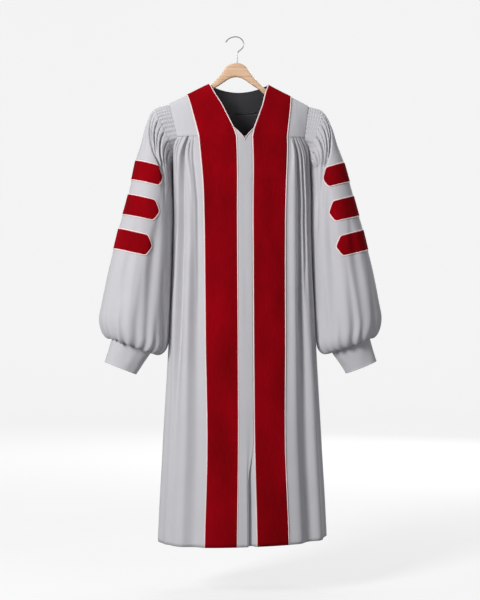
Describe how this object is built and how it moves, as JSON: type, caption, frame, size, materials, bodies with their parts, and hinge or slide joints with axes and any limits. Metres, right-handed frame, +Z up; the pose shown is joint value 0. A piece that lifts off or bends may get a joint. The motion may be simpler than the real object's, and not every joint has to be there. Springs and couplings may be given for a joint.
{
  "type": "graduation gown on hanger",
  "caption": "Full-length gown with velvet front panels and sleeve bars, full gathered sleeves and plain cuffs, hung on a wooden hanger.",
  "frame": {"origin": "underside of the hook's top bend, where a rail carries the hanger", "axes": "+Z up, the gown's front faces -Y, +X is to the right of someone who looks at the front"},
  "size_m": [0.7918, 0.2417, 1.4119],
  "materials": {
    "gown_cloth": "light grey woven cloth with a faint sheen",
    "velvet": "deep red velvet",
    "piping": "pale satin piping",
    "lining": "dark charcoal cloth",
    "hanger_wood": "clear-varnished light wood",
    "hook_wire": "bright plated wire"
  },
  "bodies": {
    "root": {"back": "gown_cloth", "back_yoke": "gown_cloth", "front_left": "gown_cloth", "front_right": "gown_cloth", "front_yoke_left": "gown_cloth", "front_yoke_right": "gown_cloth", "placket": "gown_cloth", "fluting_left": "gown_cloth", "fluting_right": "gown_cloth", "sleeve_left": "gown_cloth", "sleeve_right": "gown_cloth", "cuff_left": "gown_cloth", "cuff_right": "gown_cloth", "velvet_left": "velvet", "velvet_right": "velvet", "bar_1_left": "velvet", "bar_2_left": "velvet", "bar_3_left": "velvet", "bar_1_right": "velvet", "bar_2_right": "velvet", "bar_3_right": "velvet", "bar_1_piping_left": "piping", "bar_2_piping_left": "piping", "bar_3_piping_left": "piping", "bar_1_piping_right": "piping", "bar_2_piping_right": "piping", "bar_3_piping_right": "piping", "neck_piping_left": "piping", "neck_piping_right": "piping", "side_piping_left": "piping", "side_piping_right": "piping", "v_piping": "piping", "neck_facing": "lining", "back_lining": "lining", "hanger_arms": "hanger_wood", "hanger_hook": "hook_wire"}
  },
  "joints": []
}
